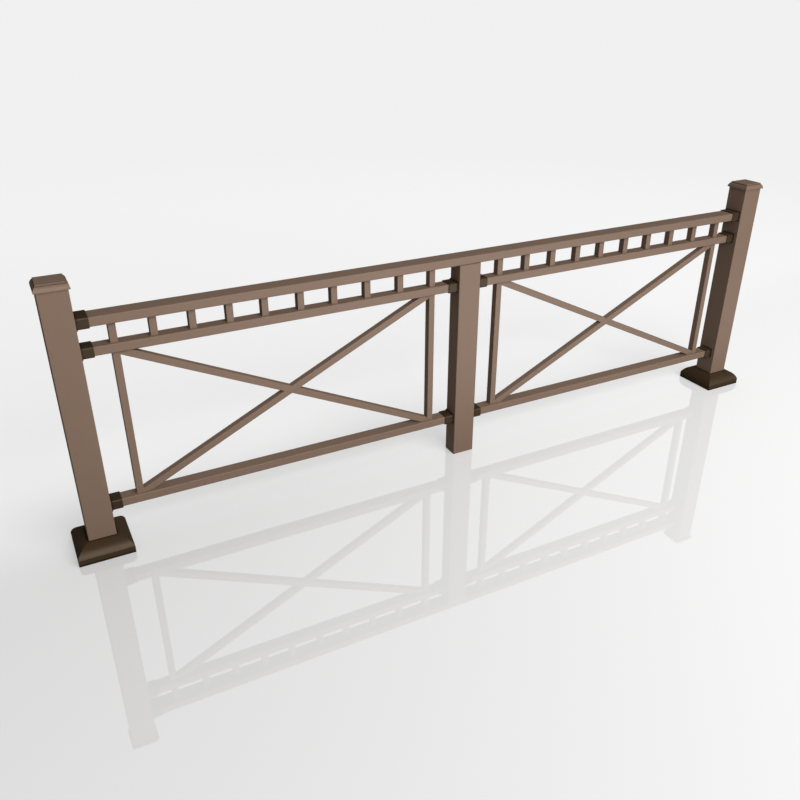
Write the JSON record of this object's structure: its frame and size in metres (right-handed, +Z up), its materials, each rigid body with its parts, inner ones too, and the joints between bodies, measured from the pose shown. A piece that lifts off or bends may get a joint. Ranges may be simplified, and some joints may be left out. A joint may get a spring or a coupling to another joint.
{
  "type": "deck railing section",
  "caption": "Metal deck railing section: capped square posts with base covers, tube rails in dark sleeve brackets, short blocks under the top rail and crossed braces in each bay.",
  "frame": {"origin": "on the deck, under the centre line of the rails, halfway between the end posts", "axes": "+X along the railing to the right as seen from the front, +Y towards the back, +Z up"},
  "size_m": [3.335, 0.203, 1.049],
  "materials": {
    "rail_coat": "taupe brown powder coat, satin",
    "dark_fitting": "dark bronze powder coat, satin",
    "bare_plate": "mill finish"
  },
  "bodies": {
    "root": {"left_base_cover": "dark_fitting", "left_base_plate": "bare_plate", "left_bay_blocks": "rail_coat", "left_bay_bottom_left_bracket": "dark_fitting", "left_bay_bottom_rail": "rail_coat", "left_bay_bottom_right_bracket": "dark_fitting", "left_bay_falling_brace": "rail_coat", "left_bay_left_stile": "rail_coat", "left_bay_right_stile": "rail_coat", "left_bay_rising_brace": "rail_coat", "left_bay_upper_left_bracket": "dark_fitting", "left_bay_upper_rail": "rail_coat", "left_bay_upper_right_bracket": "dark_fitting", "left_post": "rail_coat", "left_post_cap": "rail_coat", "left_top_rail_bracket": "dark_fitting", "middle_post": "rail_coat", "middle_post_foot": "bare_plate", "right_base_cover": "dark_fitting", "right_base_plate": "bare_plate", "right_bay_blocks": "rail_coat", "right_bay_bottom_left_bracket": "dark_fitting", "right_bay_bottom_rail": "rail_coat", "right_bay_bottom_right_bracket": "dark_fitting", "right_bay_falling_brace": "rail_coat", "right_bay_left_stile": "rail_coat", "right_bay_right_stile": "rail_coat", "right_bay_rising_brace": "rail_coat", "right_bay_upper_left_bracket": "dark_fitting", "right_bay_upper_rail": "rail_coat", "right_bay_upper_right_bracket": "dark_fitting", "right_post": "rail_coat", "right_post_cap": "rail_coat", "right_top_rail_bracket": "dark_fitting", "top_rail": "rail_coat"}
  },
  "joints": []
}
